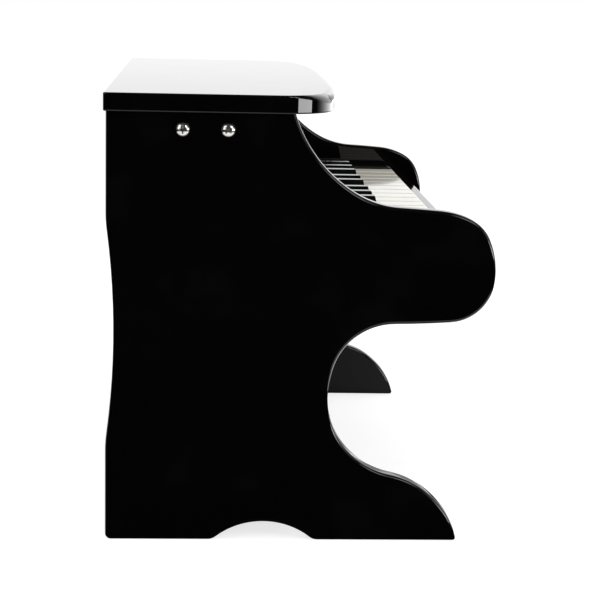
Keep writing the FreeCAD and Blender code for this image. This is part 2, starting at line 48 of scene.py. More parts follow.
# Sizes that the finishes and the screws share with the construction.
KEYBOARD_HALF = 176.25 * MM
KEY_PITCH = 23.5 * MM
SEMITONES = 24
SEMITONE = 2 * KEYBOARD_HALF / SEMITONES
KEY_FRONT_Y = -101.25 * MM
BLACK_FRONT_Y = -61.95 * MM
PANEL_FACE_Y = 15.05 * MM

SIDE_SCREW = {
    "Head Diameter": 9.2 * MM, "Head Height": 2.8 * MM, "Shank Diameter": 4.2 * MM,
    "Shank Length": 34 * MM, "Thread Pitch": 1.8 * MM,
}
SMALL_HEAD = {
    "Head Diameter": 6 * MM, "Head Height": 1.9 * MM, "Shank Diameter": 3 * MM,
    "Thread Pitch": 1.3 * MM,
}
BACK_SCREW = dict(SMALL_HEAD, **{"Shank Length": 14 * MM})
LID_SCREW = dict(SMALL_HEAD, **{"Shank Length": 31 * MM})


class Signal:
    """An output socket of a node, with the arithmetic that expressions need."""

    def __init__(self, graph, socket):
        self.graph = graph
        self.socket = socket

    def other(self, name):
        """Another output of the same node."""
        return Signal(self.graph, self.socket.node.outputs[name])

    def maths(self, operation, first, second):
        """A maths node on two values."""
        return self.graph.node("ShaderNodeMath", {"operation": operation}, {0: first, 1: second})

    def __add__(self, value):
        return self.maths("ADD", self, value)

    def __radd__(self, value):
        return self.maths("ADD", value, self)

    def __sub__(self, value):
        return self.maths("SUBTRACT", self, value)

    def __rsub__(self, value):
        return self.maths("SUBTRACT", value, self)

    def __mul__(self, value):
        return self.maths("MULTIPLY", self, value)

    def __rmul__(self, value):
        return self.maths("MULTIPLY", value, self)

    def __truediv__(self, value):
        return self.maths("DIVIDE", self, value)

    def __rtruediv__(self, value):
        return self.maths("DIVIDE", value, self)


class Graph:
    """A node tree being built, for a finish, the world or a geometry tree."""

    def __init__(self, tree):
        tree.nodes.clear()
        self.tree = tree

    def node(self, kind, settings=None, sockets=None, output=0):
        """Adds a node: its settings first, then the values or links of its sockets."""
        made = self.tree.nodes.new(kind)
        for name, value in (settings or {}).items():
            setattr(made, name, value)
        for key, value in (sockets or {}).items():
            for item in value if isinstance(value, list) else [value]:
                if isinstance(item, Signal):
                    self.tree.links.new(item.socket, made.inputs[key])
                else:
                    made.inputs[key].default_value = item
        return Signal(self, made.outputs[output]) if len(made.outputs) else None

    def place(self, stretch=(1, 1, 1)):
        """The piece's own coordinates in metres, squeezed along the axes that stretch names."""
        at = self.node("ShaderNodeTexCoord", None, None, "Object")
        return self.node("ShaderNodeMapping", {"vector_type": "POINT"}, {"Vector": at, "Scale": stretch})

    def axes(self, vector):
        """The three parts of a vector."""
        first = self.node("ShaderNodeSeparateXYZ", None, {0: vector})
        return first, first.other("Y"), first.other("Z")

    def noise(self, at, size, detail=2, roughness=0.5):
        """Soft noise from 0 to 1 with patches of about this size."""
        sockets = {"Vector": at, "Scale": 1 / size, "Detail": detail, "Roughness": roughness}
        return self.node("ShaderNodeTexNoise", None, sockets)

    def rise(self, value, low, high):
        """0 below low and 1 above high, smooth between."""
        sockets = {"Value": value, "From Min": low, "From Max": high}
        return self.node("ShaderNodeMapRange", {"interpolation_type": "SMOOTHSTEP"}, sockets)

    def mix(self, share, first, second):
        """From the first colour to the second one."""
        sockets = {0: share, 6: first, 7: second}
        return self.node("ShaderNodeMix", {"data_type": "RGBA"}, sockets, 2)

    def bump(self, height, depth):
        """A normal from heights of 0 to 1 that stand for this depth."""
        return self.node("ShaderNodeBump", None, {"Distance": depth, "Height": height})


def shade(red, green, blue):
    """An opaque colour."""
    return (red, green, blue, 1.0)


def finish(name, recipe, *details):
    """A material from a recipe, which gives the sockets of the surface shader."""
    material = bpy.data.materials.new(name)
    material.use_nodes = True
    graph = Graph(material.node_tree)
    surface = graph.node("ShaderNodeBsdfPrincipled", None, recipe(graph, *details))
    graph.node("ShaderNodeOutputMaterial", None, {"Surface": surface})
    return material


# Finishes. An edge is a pair: where a patch of noise begins and where it is full.

GRAIN = 0.06
ALONG_X = (GRAIN, 1, 1)
ALONG_Y = (1, GRAIN, 1)
ALONG_Z = (1, 1, GRAIN)

LACQUER_IOR = 1.5
LACQUER_BLACK = shade(0.0012, 0.0012, 0.0013)
LACQUER_RUBBED = shade(0.0034, 0.0033, 0.0031)
IVORY_PALE = shade(0.80, 0.78, 0.71)
IVORY_WARM = shade(0.76, 0.73, 0.64)
IVORY_WORN = shade(0.68, 0.64, 0.53)
WOOD_PALE = shade(0.62, 0.46, 0.29)
WOOD_DARK = shade(0.43, 0.28, 0.15)
BOARD_BLACK = shade(0.010, 0.010, 0.010)
BOARD_GREY = shade(0.022, 0.021, 0.020)
FELT_RED = shade(0.25, 0.028, 0.030)
FELT_PALE = shade(0.36, 0.070, 0.065)
STEEL = shade(0.60, 0.60, 0.61)
STEEL_DULL = shade(0.42, 0.42, 0.43)
IRON = shade(0.055, 0.054, 0.053)
IRON_PALE = shade(0.11, 0.105, 0.10)
NICKEL = shade(0.88, 0.86, 0.83)
NICKEL_DULL = shade(0.70, 0.67, 0.62)
ZINC = shade(0.70, 0.71, 0.72)
ZINC_YELLOW = shade(0.68, 0.65, 0.55)


LACQUER_GLOSS = 0.025
RIPPLE_SIZE, RIPPLE_DEPTH = 7 * MM, 0.002 * MM
SMEAR_SIZE, SMEAR_EDGE = 45 * MM, (0.48, 0.75)
RUBBING_SIZE, RUBBING_EDGE = 1.2 * MM, (0.60, 0.80)


def lacquer(graph):
    """Sprayed and polished black lacquer: a slight ripple, soft smears and fine rubbing."""
    at = graph.place()
    ripple = graph.noise(at, RIPPLE_SIZE)
    smear = graph.rise(graph.noise(at, SMEAR_SIZE, detail=5, roughness=0.6), *SMEAR_EDGE)
    rubbing = graph.rise(graph.noise(at, RUBBING_SIZE, detail=3), *RUBBING_EDGE)
    return {
        "Base Color": graph.mix(smear * 0.6 + rubbing * 0.4, LACQUER_BLACK, LACQUER_RUBBED),
        "Roughness": LACQUER_GLOSS + smear * 0.05 + rubbing * 0.03,
        "IOR": LACQUER_IOR,
        "Normal": graph.bump(ripple, RIPPLE_DEPTH),
    }


FIGURE_SIZE, FIGURE_BANDS = 14 * MM, 11
WOOD_FIBRE, WOOD_DEPTH = 0.7 * MM, 0.12 * MM
WOOD_ROUGHNESS = 0.55


def wood(graph, stretch):
    """Bare light wood with its grain along one axis."""
    at = graph.place(stretch)
    figure = graph.noise(at, FIGURE_SIZE, detail=3)
    bands = graph.node("ShaderNodeMath", {"operation": "PINGPONG"}, {0: figure * FIGURE_BANDS, 1: 1.0})
    fibre = graph.noise(at, WOOD_FIBRE, detail=4, roughness=0.65)
    return {
        "Base Color": graph.mix(bands * 0.55 + fibre * 0.45, WOOD_PALE, WOOD_DARK),
        "Roughness": WOOD_ROUGHNESS + fibre * 0.2,
        "Normal": graph.bump(fibre * 0.7 + bands * 0.3, WOOD_DEPTH),
    }


PLAYED_LENGTH = 32 * MM
PLAYED_PATCH, PLAYED_EDGE = 16 * MM, (0.42, 0.66)
PAINT_END = (PANEL_FACE_Y + 4 * MM, PANEL_FACE_Y + 5 * MM)
KEY_FIBRE, KEY_FIBRE_DEPTH = 0.8 * MM, 0.1 * MM
KEY_RIPPLE, KEY_RIPPLE_SHARE = 6 * MM, 0.006
TAIL_ROUGHNESS = 0.5
WHITE_GLOSS, WHITE_IOR = 0.07, 1.42
BLACK_GLOSS = 0.14


def key_finish(graph, face, warm, worn, pitch, front, gloss, ior):
    """Lacquered key: each one a little different, worn at the playing end, bare wood behind the panel."""
    at = graph.place()
    across, along, _ = graph.axes(at)
    number = graph.node("ShaderNodeMath", {"operation": "FLOOR"}, {0: (across + KEYBOARD_HALF) / pitch})
    own = graph.node("ShaderNodeTexWhiteNoise", {"noise_dimensions": "1D"}, {"W": number})
    cloud = graph.noise(at, PLAYED_PATCH, detail=4)
    played = 1 - graph.rise(along, front, front + PLAYED_LENGTH)
    handled = played * graph.rise(cloud, *PLAYED_EDGE)
    painted = graph.mix(handled * 0.5, graph.mix(own * 0.7 + cloud * 0.3, face, warm), worn)
    fibre = graph.noise(graph.place(ALONG_Y), KEY_FIBRE, detail=4, roughness=0.65)
    tail = graph.rise(along, *PAINT_END)
    ripple = graph.noise(at, KEY_RIPPLE)
    height = ripple * KEY_RIPPLE_SHARE * (1 - tail) + fibre * tail
    return {
        "Base Color": graph.mix(tail, painted, graph.mix(fibre, WOOD_PALE, WOOD_DARK)),
        "Roughness": gloss + handled * 0.06 + tail * TAIL_ROUGHNESS,
        "IOR": ior,
        "Normal": graph.bump(height, KEY_FIBRE_DEPTH),
    }


STIPPLE_SIZE, STIPPLE_DEPTH = 1.6 * MM, 0.05 * MM
BOARD_PATCH = 60 * MM
SCUFF_SIZE, SCUFF_EDGE = 2.5 * MM, (0.66, 0.76)
BOARD_ROUGHNESS = 0.42


def board_paint(graph):
    """Satin black paint on hardboard, with the stipple of a roller."""
    at = graph.place()
    stipple = graph.noise(at, STIPPLE_SIZE, detail=3)
    patch = graph.noise(at, BOARD_PATCH, detail=4)
    scuff = graph.rise(graph.noise(graph.place(ALONG_X), SCUFF_SIZE, detail=3), *SCUFF_EDGE)
    return {
        "Base Color": graph.mix(patch * 0.5 + scuff * 0.4, BOARD_BLACK, BOARD_GREY),
        "Roughness": BOARD_ROUGHNESS + stipple * 0.12 + scuff * 0.08,
        "Normal": graph.bump(stipple, STIPPLE_DEPTH),
    }


FELT_LAY = (0.35, 1, 1)
FELT_FIBRE, FELT_CLUMP, FELT_DEPTH = 0.5 * MM, 4 * MM, 0.35 * MM
FELT_ROUGHNESS = 0.88
FELT_SHEEN, FELT_SHEEN_ROUGHNESS = 0.35, 0.5


def felt(graph):
    """Pressed wool felt with loose fibres."""
    fibre = graph.noise(graph.place(FELT_LAY), FELT_FIBRE, detail=5, roughness=0.7)
    clump = graph.noise(graph.place(), FELT_CLUMP, detail=3)
    return {
        "Base Color": graph.mix(fibre * 0.6 + clump * 0.4, FELT_RED, FELT_PALE),
        "Roughness": FELT_ROUGHNESS + fibre * 0.1,
        "Sheen Weight": FELT_SHEEN,
        "Sheen Roughness": FELT_SHEEN_ROUGHNESS,
        "Normal": graph.bump(fibre + clump * 0.5, FELT_DEPTH),
    }


LINE_SIZE, LINE_DEPTH = 0.25 * MM, 0.006 * MM
STAIN_SIZE, STAIN_EDGE = 12 * MM, (0.5, 0.75)
STEEL_ROUGHNESS = 0.2


def drawn_steel(graph, stretch):
    """Drawn steel rod with fine lines along it."""
    lines = graph.noise(graph.place(stretch), LINE_SIZE, detail=3)
    stain = graph.rise(graph.noise(graph.place(), STAIN_SIZE, detail=4), *STAIN_EDGE)
    return {
        "Base Color": graph.mix(lines * 0.5 + stain * 0.5, STEEL, STEEL_DULL),
        "Metallic": 1.0,
        "Roughness": STEEL_ROUGHNESS + lines * 0.12 + stain * 0.15,
        "Normal": graph.bump(lines, LINE_DEPTH),
    }


SAND_SIZE, SAND_DEPTH = 0.9 * MM, 0.18 * MM
IRON_PATCH = 11 * MM
IRON_METALLIC, IRON_ROUGHNESS = 0.35, 0.5


def cast_iron(graph):
    """Sand cast iron with a thin dark coat."""
    at = graph.place()
    sand = graph.noise(at, SAND_SIZE, detail=4, roughness=0.6)
    patch = graph.noise(at, IRON_PATCH, detail=3)
    return {
        "Base Color": graph.mix(sand * 0.5 + patch * 0.5, IRON, IRON_PALE),
        "Metallic": IRON_METALLIC,
        "Roughness": IRON_ROUGHNESS + sand * 0.2,
        "Normal": graph.bump(sand, SAND_DEPTH),
    }


PLATE_CLOUD, PLATE_EDGE = 1.8 * MM, (0.4, 0.8)
PLATE_GRAIN, PLATE_DEPTH = 0.35 * MM, 0.004 * MM
NICKEL_GLOSS = (0.08, 0.2)
ZINC_GLOSS = (0.2, 0.36)


def plated(graph, bright, dull, gloss):
    """Plated screw metal with a cloudy polish."""
    low, high = gloss
    at = graph.place()
    cloud = graph.noise(at, PLATE_CLOUD, detail=4)
    fine = graph.noise(at, PLATE_GRAIN)
    return {
        "Base Color": graph.mix(graph.rise(cloud, *PLATE_EDGE), bright, dull),
        "Metallic": 1.0,
        "Roughness": low + cloud * (high - low),
        "Normal": graph.bump(fine, PLATE_DEPTH),
    }


case_lacquer = finish("case_lacquer", lacquer)
board_black = finish("board_paint", board_paint)
rail_wood = finish("rail_wood", wood, ALONG_X)
bearer_wood = finish("bearer_wood", wood, ALONG_Y)
post_wood = finish("post_wood", wood, ALONG_Z)
white_lacquer = finish("white_key_lacquer", key_finish, IVORY_PALE, IVORY_WARM, IVORY_WORN, KEY_PITCH,
                       KEY_FRONT_Y, WHITE_GLOSS, WHITE_IOR)
black_lacquer = finish("black_key_lacquer", key_finish, LACQUER_BLACK, LACQUER_RUBBED, LACQUER_RUBBED,
                       SEMITONE, BLACK_FRONT_Y, BLACK_GLOSS, LACQUER_IOR)
pressed_felt = finish("pressed_felt", felt)
pivot_steel = finish("pivot_steel", drawn_steel, ALONG_X)
chime_steel = finish("chime_steel", drawn_steel, ALONG_Y)
chime_iron = finish("chime_iron", cast_iron)
nickel_plate = finish("nickel_plate", plated, NICKEL, NICKEL_DULL, NICKEL_GLOSS)
zinc_plate = finish("zinc_plate", plated, ZINC, ZINC_YELLOW, ZINC_GLOSS)

DRESSED = (
    (case_lacquer, "lid", "upper_front_panel", "lower_front_panel", "key_bed", "key_slip",
     "left_cheek_block", "right_cheek_block"),
    (board_black, "back_panel", "bottom_board"),
    (rail_wood, "top_rail", "balance_rail", "rear_rest_rail"),
    (bearer_wood, "left_pivot_bracket", "right_pivot_bracket", "left_bed_cleat", "right_bed_cleat"),
    (post_wood, "left_back_cleat", "right_back_cleat"),
    (pivot_steel, "key_pivot_rod"),
    (chime_steel, "chime_rods"),
    (chime_iron, "chime_block"),
)


def dress_nodes():
    """Puts the finishes on the nodes that keep their own shape."""
    for material, *names in DRESSED:
        for name in names:
            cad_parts[name].material_slots[0].material = material
    for name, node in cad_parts.items():
        if name.startswith("white_key"):
            node.material_slots[0].material = white_lacquer
        elif name.startswith("black_key"):
            node.material_slots[0].material = black_lacquer


# Pieces.

WELD = 0.001 * MM
SORT_DIGITS = 5


def new_piece(name, mesh):
    """A new object with this mesh, in the scene."""
    piece = bpy.data.objects.new(name, mesh)
    bpy.context.scene.collection.objects.link(piece)
    return piece


def solid_boxes(name):
    """The corners of each separate solid in a node."""
    work = bmesh.new()
    work.from_mesh(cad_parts[name].data)
    bmesh.ops.remove_doubles(work, verts=work.verts, dist=WELD)
    left = set(work.verts)
    boxes = []
    while left:
        front = [left.pop()]
        found = list(front)
        while front:
            near = {edge.other_vert(vertex) for vertex in front for edge in vertex.link_edges}
            front = list(near & left)
            left -= near
            found += front
        lows = Vector(min(vertex.co[axis] for vertex in found) for axis in range(3))
        highs = Vector(max(vertex.co[axis] for vertex in found) for axis in range(3))
        boxes.append((lows, highs))
    work.free()
    return sorted(boxes, key=lambda box: tuple(round(value, SORT_DIGITS) for value in box[0]))


PANEL_ROUND = 2.2 * MM
PANEL_CROWN = 0.1 * MM
CROWN_STEPS = 10
ROUND_STEPS = 9
TURN_STEP = math.radians(2.5)
CORNER_ROOM = 0.97
CORNER_EASE = 0.5
SAME_PLACE = 0.005 * MM
PLACE_DIGITS = 6
BAND_TILT = 0.02
STRAIGHT_TURN = 0.001
LEAN_PASSES = 20


def band_normals(mesh):
    """The normals of a panel's edge band at each of its points in the plane of the panel."""
    found = {}
    for face in mesh.polygons:
        if abs(face.normal.x) < BAND_TILT:
            for corner in face.loop_indices:
                at = mesh.vertices[mesh.loops[corner].vertex_index].co
                place = round(at.y, PLACE_DIGITS), round(at.z, PLACE_DIGITS)
                normal = mesh.corner_normals[corner].vector
                found.setdefault(place, []).append(Vector((normal.y, normal.z)))
    return found


def middle_loop(mesh, x):
    """The panel's outline where a plane through its middle cuts it, as points in order."""
    work = bmesh.new()
    work.from_mesh(mesh)
    bmesh.ops.remove_doubles(work, verts=work.verts, dist=WELD)
    everything = work.verts[:] + work.edges[:] + work.faces[:]
    cut = bmesh.ops.bisect_plane(work, geom=everything, plane_co=(x, 0, 0), plane_no=(1, 0, 0))["geom_cut"]
    beside = {}
    for edge in cut:
        if isinstance(edge, bmesh.types.BMEdge):
            for vertex in edge.verts:
                beside.setdefault(vertex, []).append(edge.other_vert(vertex))
    longest = []
    while beside:
        vertex = next(iter(beside))
        loop = []
        while vertex is not None:
            loop.append(Vector((vertex.co.y, vertex.co.z)))
            near = beside.pop(vertex)
            vertex = next((other for other in near if other in beside), None)
        longest = max(longest, loop, key=len)
    work.free()
    area = sum(one.x * two.y - two.x * one.y for one, two in zip(longest, longest[1:] + longest[:1]))
    return longest if area > 0 else longest[::-1]


def panel_path(mesh, x):
    """Stations from the front top corner round to the back top corner: point, normals before and after."""
    normals = band_normals(mesh)
    places = kdtree.KDTree(len(normals))
    keys = list(normals)
    for index, key in enumerate(keys):
        places.insert((*key, 0), index)
    places.balance()
    outline = []
    for point in middle_loop(mesh, x):
        _, index, away = places.find((*point, 0))
        if away < SAME_PLACE:
            outline.append((Vector(keys[index]), normals[keys[index]]))
    top = max(point.y for point, _ in outline) - SAME_PLACE
    start = min((index for index, item in enumerate(outline) if item[0].y > top),
                key=lambda index: outline[index][0].x)
    outline = outline[start:] + outline[:start]
    end = max((index for index, item in enumerate(outline) if item[0].y > top),
              key=lambda index: outline[index][0].x)
    outline = outline[:end + 1]

    stations = []
    for (here, here_normals), (there, there_normals) in zip(outline, outline[1:]):
        chord = there - here
        facing = Vector((chord.y, -chord.x)).normalized()
        first = max(here_normals, key=facing.dot).normalized()
        last = max(there_normals, key=facing.dot).normalized()
        steps = max(1, math.ceil(first.angle(last) / TURN_STEP))
        leave = Vector((-first.y, first.x)) * chord.length
        arrive = Vector((-last.y, last.x)) * chord.length
        if stations:
            stations[-1][2] = first
        else:
            stations.append([here, first, first])
        for step in range(1, steps + 1):
            s = step / steps
            point = (here * (2 * s ** 3 - 3 * s ** 2 + 1) + leave * (s ** 3 - 2 * s ** 2 + s)
                     + there * (3 * s ** 2 - 2 * s ** 3) + arrive * (s ** 3 - s ** 2))
            normal = first.slerp(last, s)
            stations.append([point, normal, normal])
    return stations


def inset_limits(stations):
    """How far each station may move inwards before the points of a convex corner cross."""
    limits = [math.inf] * len(stations)
    for index in range(len(stations) - 1):
        leaving, arriving = stations[index][2], stations[index + 1][1]
        turn = leaving.angle(arriving)
        if turn > STRAIGHT_TURN and leaving.cross(arriving) > 0:
            chord = (stations[index + 1][0] - stations[index][0]).length
            radius = chord / (2 * math.sin(turn / 2)) * CORNER_ROOM
            limits[index] = min(limits[index], radius)
            limits[index + 1] = min(limits[index + 1], radius)
    for order in (range(1, len(stations)), range(len(stations) - 2, -1, -1)):
        for index in order:
            beside = index - order.step
            away = (stations[index][0] - stations[beside][0]).length
            limits[index] = min(limits[index], limits[beside] + away * CORNER_EASE)
    return limits


def panel_profile(half):
    """Across the thickness: offset from the middle, inset from the outline, and the normal's two parts."""
    lean = 0.0
    for _ in range(LEAN_PASSES):
        crown_half = half - PANEL_ROUND * (1 - math.sin(lean))
        lean = math.atan(2 * PANEL_CROWN / crown_half)
    near = []
    for step in range(ROUND_STEPS + 1):
        turn = lean + (math.pi / 2 - lean) * (1 - step / ROUND_STEPS)
        offset = crown_half + PANEL_ROUND * (math.sin(turn) - math.sin(lean))
        near.append((offset, PANEL_CROWN + PANEL_ROUND * (math.cos(lean) - math.cos(turn)),
                     math.sin(turn), math.cos(turn)))
    for step in range(1, CROWN_STEPS // 2 + 1):
        offset = crown_half * (1 - 2 * step / CROWN_STEPS)
        slope = math.atan(2 * PANEL_CROWN * offset / crown_half ** 2)
        near.append((offset, PANEL_CROWN * (offset / crown_half) ** 2, math.sin(slope), math.cos(slope)))
    mirrored = [(-offset, inset, -across, out) for offset, inset, across, out in near]
    return mirrored + near[-2::-1]


def side_panel(name, node):
    """A side panel with its edges rounded and slightly crowned, on the outline of the node."""
    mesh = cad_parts[node].data
    low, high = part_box(node)
    middle = (low.x + high.x) / 2
    stations = panel_path(mesh, middle)
    limits = inset_limits(stations)
    profile = panel_profile((high.x - low.x) / 2)
    count = len(profile)
    points, faces, normals = [], [], []
    for index, (point, before, after) in enumerate(stations):
        mitre = (before + after) / (1 + before.dot(after))
        if index in (0, len(stations) - 1):
            mitre = Vector((1 / before.x, 0))
        for offset, inset, _, _ in profile:
            spot = point - mitre * min(inset, limits[index])
            points.append((middle + offset, spot.x, spot.y))
    for index in range(len(stations) - 1):
        leaving, arriving = stations[index][2], stations[index + 1][1]
        for step in range(count - 1):
            ring, following = index * count + step, (index + 1) * count + step
            faces.append((ring, following, following + 1, ring + 1))
            corners = (leaving, step), (arriving, step), (arriving, step + 1), (leaving, step + 1)
            for facing, side in corners:
                across, out = profile[side][2:]
                normals.append((across, out * facing.x, out * facing.y))
    rings = [index * count for index in range(len(stations))]
    last = count - 1
    caps = (
        (rings[::-1], (-1, 0, 0)),
        ([ring + last for ring in rings], (1, 0, 0)),
        ([*range(count)] + [rings[-1] + last - step for step in range(count)], (0, 0, 1)),
    )
    for corners, facing in caps:
        faces.append(corners)
        normals += [facing] * len(corners)
    panel = bpy.data.meshes.new(name)
    panel.from_pydata(points, [], faces)
    panel.shade_smooth()
    panel.normals_split_custom_set(normals)
    panel.materials.append(case_lacquer)
    piece = new_piece(name, panel)
    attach(piece, "case")
    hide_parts(node)


# Shares of the head's diameter and height, for a head of diameter 1 and height 1.
HEAD_RADIUS = 0.5
HEAD_RIM = 0.16
HEAD_RINGS = (1.0, 0.985, 0.95, 0.88, 0.78, 0.62, 0.45, 0.28, 0.12, 0.04, 0.0)
HEAD_CREASE = math.radians(38)
ARM_HALF_WIDTH = 0.055
ARM_LENGTH = 0.30
RECESS_LIP, RECESS_LIP_DROP = 0.9, 0.1
RECESS_TAPER, RECESS_FLOOR = 0.5, 0.22
RECESS_TIP = RECESS_FLOOR - 0.08
STEPS_BETWEEN_CORNERS = 4


def recess_reach(angle):
    """How far the cross recess reaches at this angle, for a head of diameter 1."""
    across, along = sorted((abs(math.cos(angle)), abs(math.sin(angle))))
    if across * ARM_LENGTH <= along * ARM_HALF_WIDTH:
        return ARM_LENGTH / along
    return ARM_HALF_WIDTH / across


def recess_angles():
    """Angles round the head that meet each corner of the cross."""
    corner = math.atan2(ARM_HALF_WIDTH, ARM_LENGTH)
    quarter = [0, corner, math.pi / 4, math.pi / 2 - corner]
    corners = [turn * math.pi / 2 + angle for turn in range(4) for angle in quarter] + [math.tau]
    return [
        low + (high - low) * step / STEPS_BETWEEN_CORNERS
        for low, high in zip(corners, corners[1:]) for step in range(STEPS_BETWEEN_CORNERS)
    ]


def crown(radius):
    """The height of the head's crown at this radius, for a head of diameter and height 1."""
    return HEAD_RIM + (1 - HEAD_RIM) * math.sqrt(max(0.0, 1 - (radius / HEAD_RADIUS) ** 2))


def screw_head():
    """A round head of diameter 1 and height 1 with a tapered cross recess, to be scaled."""
    angles = recess_angles()
    work = bmesh.new()

    def ring(reach_at, height_at):
        """A ring of points, from the reach at each angle and the height at each reach."""
        points = [(reach_at(angle), angle) for angle in angles]
        return [work.verts.new((reach * math.cos(angle), reach * math.sin(angle), height_at(reach)))
                for reach, angle in points]

    rings = [ring(lambda angle: HEAD_RADIUS, lambda reach: 0.0)]
    for share in HEAD_RINGS:
        rings.append(ring(lambda angle: HEAD_RADIUS * share + recess_reach(angle) * (1 - share), crown))
    rings.append(ring(lambda angle: recess_reach(angle) * RECESS_LIP,
                      lambda reach: crown(reach) - RECESS_LIP_DROP))
    rings.append(ring(lambda angle: recess_reach(angle) * RECESS_TAPER, lambda reach: RECESS_FLOOR))
    for lower, upper in zip(rings, rings[1:]):
        for here in range(len(angles)):
            after = (here + 1) % len(angles)
            work.faces.new((lower[here], lower[after], upper[after], upper[here]))
    work.faces.new(reversed(rings[0]))
    tip = work.verts.new((0, 0, RECESS_TIP))
    for here in range(len(angles)):
        work.faces.new((rings[-1][here], rings[-1][(here + 1) % len(angles)], tip))
    mesh = bpy.data.meshes.new("screw_head")
    work.to_mesh(mesh)
    work.free()
    mesh.shade_smooth()
    mesh.set_sharp_from_angle(angle=HEAD_CREASE)
    return mesh


THREAD_SIDES = 20
THREAD_ROWS = 8
THREAD_DEPTH = 0.24
POINT_LENGTH = 1.8
POINT_BLUNT = 0.12


def screw_tree():
    """Geometry tree: a threaded screw with a cross head on every point, along its facing attribute."""
    tree = bpy.data.node_groups.new("screws", "GeometryNodeTree")
    graph = Graph(tree)
    kinds = {
        "Geometry": "NodeSocketGeometry", "Head": "NodeSocketObject", "Head Diameter": "NodeSocketFloat",
        "Head Height": "NodeSocketFloat", "Shank Diameter": "NodeSocketFloat",
        "Shank Length": "NodeSocketFloat", "Thread Pitch": "NodeSocketFloat", "Seed": "NodeSocketInt",
        "Finish": "NodeSocketMaterial",
    }
    inputs = {
        name: tree.interface.new_socket(name=name, in_out="INPUT", socket_type=kind).identifier
        for name, kind in kinds.items()
    }
    tree.interface.new_socket(name="Geometry", in_out="OUTPUT", socket_type="NodeSocketGeometry")
    given = graph.node("NodeGroupInput")
    width, tall = given.other("Head Diameter"), given.other("Head Height")
    thick, length = given.other("Shank Diameter"), given.other("Shank Length")
    pitch = given.other("Thread Pitch")

    size = graph.node("ShaderNodeCombineXYZ", None, {"X": width, "Y": width, "Z": tall})
    head = graph.node("GeometryNodeObjectInfo", None, {"Object": given.other("Head")}, "Geometry")
    head = graph.node("GeometryNodeTransform", None, {"Geometry": head, "Scale": size})

    rod = graph.node("GeometryNodeMeshCylinder", {"fill_type": "NGON"}, {
        "Vertices": THREAD_SIDES, "Side Segments": length / pitch * THREAD_ROWS, "Radius": thick / 2,
        "Depth": length,
    })
    x, y, z = graph.axes(graph.node("GeometryNodeInputPosition"))
    angle = graph.node("ShaderNodeMath", {"operation": "ARCTAN2"}, {0: y, 1: x})
    climb = (z + length / 2) / pitch - angle / math.tau
    groove = graph.node("ShaderNodeMath", {"operation": "PINGPONG"}, {0: climb, 1: 0.5}) * 2
    start = graph.rise(z, 0 - length / 2, thick * POINT_LENGTH - length / 2)
    reach = (1 - THREAD_DEPTH * groove) * (POINT_BLUNT + (1 - POINT_BLUNT) * start)
    spot = graph.node("ShaderNodeCombineXYZ", None, {"X": x * reach, "Y": y * reach, "Z": z - length / 2})
    rod = graph.node("GeometryNodeSetPosition", None, {"Geometry": rod, "Position": spot})
    rod = graph.node("GeometryNodeSetShadeSmooth", None, {"Geometry": rod})
    screw = graph.node("GeometryNodeJoinGeometry", None, {"Geometry": [head, rod]})

    facing = graph.node("GeometryNodeInputNamedAttribute", {"data_type": "FLOAT_VECTOR"}, {"Name": "facing"})
    aim = graph.node("FunctionNodeAlignRotationToVector", {"axis": "Z"}, {"Vector": facing})
    turn = graph.node("FunctionNodeRandomValue", {"data_type": "FLOAT"},
                      {2: 0.0, 3: math.pi / 2, "Seed": given.other("Seed")}, 1)
    spin = graph.node("FunctionNodeAxisAngleToRotation", None, {"Axis": (0, 0, 1), "Angle": turn})
    aim = graph.node("FunctionNodeRotateRotation", {"rotation_space": "LOCAL"},
                     {"Rotation": aim, "Rotate By": spin})
    placed = graph.node("GeometryNodeInstanceOnPoints", None,
                        {"Points": given, "Instance": screw, "Rotation": aim})
    placed = graph.node("GeometryNodeRealizeInstances", None, {"Geometry": placed})
    placed = graph.node("GeometryNodeSetMaterial", None,
                        {"Geometry": placed, "Material": given.other("Finish")})
    graph.node("NodeGroupOutput", None, {"Geometry": placed})
    return tree, inputs


def screws(name, node, facing_of, sizes, seed, material, slot, tree, inputs, head):
    """The screws of one node, each where the construction has it, as one piece."""
    spots, facings = [], []
    for low, high in solid_boxes(node):
        middle = (low + high) / 2
        facing = Vector(facing_of(middle))
        half = sum(abs(facing[axis]) * (high - low)[axis] / 2 for axis in range(3))
        spots.append(middle + facing * (half - sizes["Head Height"]))
        facings.append(facing)
    points = bpy.data.meshes.new(name + "_places")
    points.from_pydata(spots, [], [])
    marks = points.attributes.new("facing", "FLOAT_VECTOR", "POINT")
    for mark, facing in zip(marks.data, facings):
        mark.vector = facing
    carrier = new_piece(name + "_places", points)
    maker = carrier.modifiers.new("screws", "NODES")
    maker.node_group = tree
    for key, value in dict(sizes, Head=head, Seed=seed, Finish=material).items():
        maker[inputs[key]] = value
    bpy.context.view_layer.update()
    built = carrier.evaluated_get(bpy.context.evaluated_depsgraph_get())
    mesh = bpy.data.meshes.new_from_object(built)
    mesh.name = name
    bpy.data.objects.remove(carrier)
    piece = new_piece(name, mesh)
    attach(piece, "case")
    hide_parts(node)


def outwards(at):
    """Away from the middle of the piano, to its left or right."""
    return math.copysign(1, at.x), 0, 0


def downwards(at):
    """Down, as under the top rail."""
    return 0, 0, -1


def backwards(at):
    """Towards the back of the piano."""
    return 0, 1, 0


SCREW_SETS = (
    ("side_screw_set", "side_screws", outwards, SIDE_SCREW, 5, nickel_plate, "side_screw"),
    ("lid_screw_set", "lid_screws", downwards, LID_SCREW, 7, zinc_plate, "small_screw"),
    ("chime_screw_set", "chime_screws", backwards, BACK_SCREW, 11, zinc_plate, "small_screw"),
    ("back_screw_set", "back_panel_screws", backwards, BACK_SCREW, 13, zinc_plate, "small_screw"),
)


